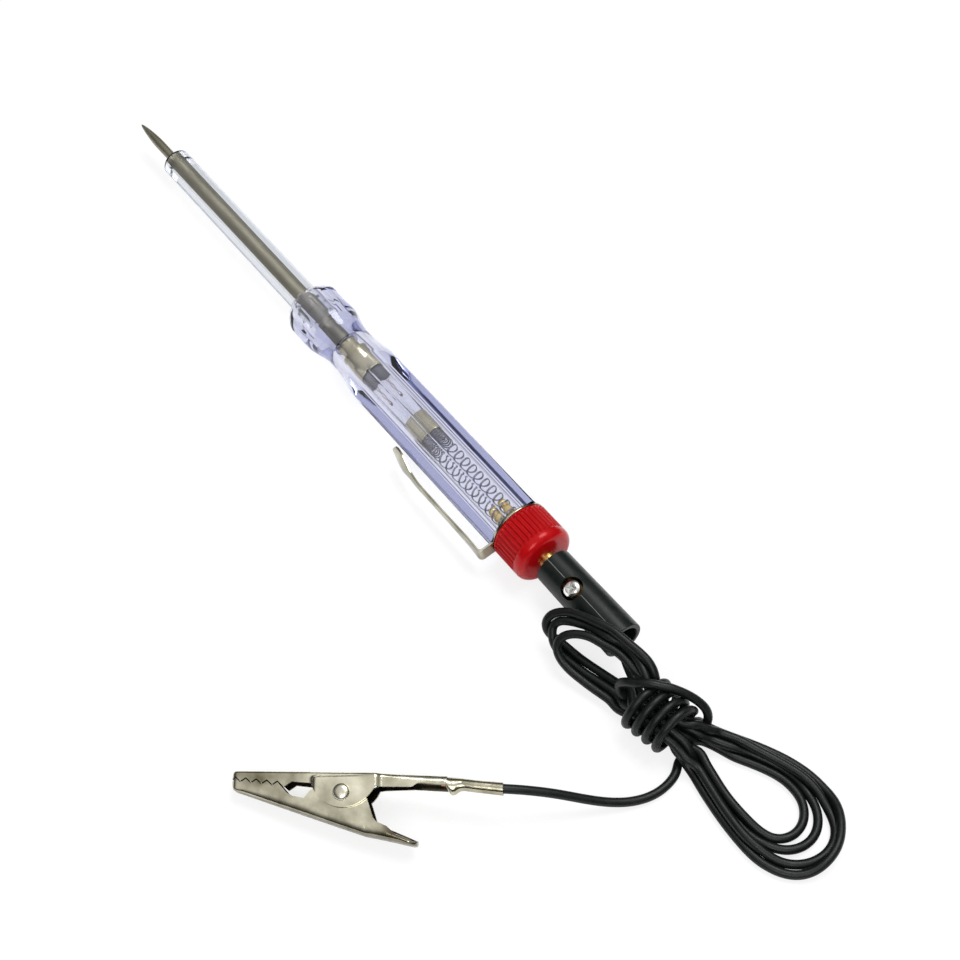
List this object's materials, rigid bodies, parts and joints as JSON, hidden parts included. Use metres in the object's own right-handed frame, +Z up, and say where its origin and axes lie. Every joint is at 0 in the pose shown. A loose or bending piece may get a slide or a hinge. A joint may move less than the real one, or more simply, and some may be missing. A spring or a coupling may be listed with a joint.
{
  "type": "test light",
  "caption": "Pencil-shaped circuit test light: sleeved steel probe, clear six-sided handle with lamp and spring, red cap, black plug, and a tied thin lead with a crocodile clip.",
  "frame": {"origin": "on the table, under the tool's axis, at the middle of the finger guard's bottom flat", "axes": "+X along the tool from the probe's point to the plug, +Z up from the table, +Y to the side away from the crocodile clip"},
  "size_m": [0.2132, 0.0767, 0.0114],
  "materials": {
    "probe_steel": "drawn steel rod, satin, slightly olive",
    "clear_plastic": "clear, polished",
    "violet_plastic": "clear with a violet tint, polished",
    "lamp_nickel": "nickel plate, lightly tarnished",
    "lamp_glass": "clear",
    "lamp_mount": "dark grey",
    "filament_wire": "thin drawn wire",
    "spring_steel": "drawn spring wire",
    "brass": "turned",
    "red_plastic": "moulded, glossy",
    "strap_steel": "pressed strip, bright plate",
    "black_plastic": "moulded, half gloss",
    "screw_steel": "bright plate",
    "copper_wire": "bare copper strands",
    "cord_jacket": "smooth soft jacket, half gloss",
    "clip_nickel": "pressed sheet, warm nickel plate",
    "rivet_steel": "bright plate"
  },
  "bodies": {
    "tester": {"probe_rod": "probe_steel", "guard_sleeve": "clear_plastic", "handle": "violet_plastic", "ferrule": "lamp_nickel", "lamp_front_cap": "lamp_nickel", "lamp_glass": "lamp_glass", "lamp_mount": "lamp_mount", "lamp_filament": "filament_wire", "lamp_rear_cap": "lamp_nickel", "contact_spring": "spring_steel", "cap_stud": "brass", "screw_cap": "red_plastic", "pocket_clip": "strap_steel", "plug_sleeve": "black_plastic", "plug_core": "brass", "plug_screw": "screw_steel", "cord_wire_end": "copper_wire", "cord_lead": "cord_jacket", "cord_knot": "cord_jacket", "cord_long_loops": "cord_jacket", "cord_short_loops": "cord_jacket", "cord_run": "cord_jacket", "clip_upper_jaw": "clip_nickel", "clip_rivet": "rivet_steel", "clip_spring": "spring_steel", "clip_wire_end": "copper_wire"},
    "lower_jaw": {"clip_lower_jaw": "clip_nickel"}
  },
  "joints": [
    {"name": "jaw_hinge", "type": "hinge", "parent": "tester", "child": "lower_jaw", "pos_m": [0.0866, -0.0522, 0.0037], "axis": [0.1563, -0.2732, 0.9492], "range_deg": [0, 26], "stiffness_Nm_per_rad": 0.02, "springref_deg": -34.38, "deforming": ["clip_spring"]}
  ]
}
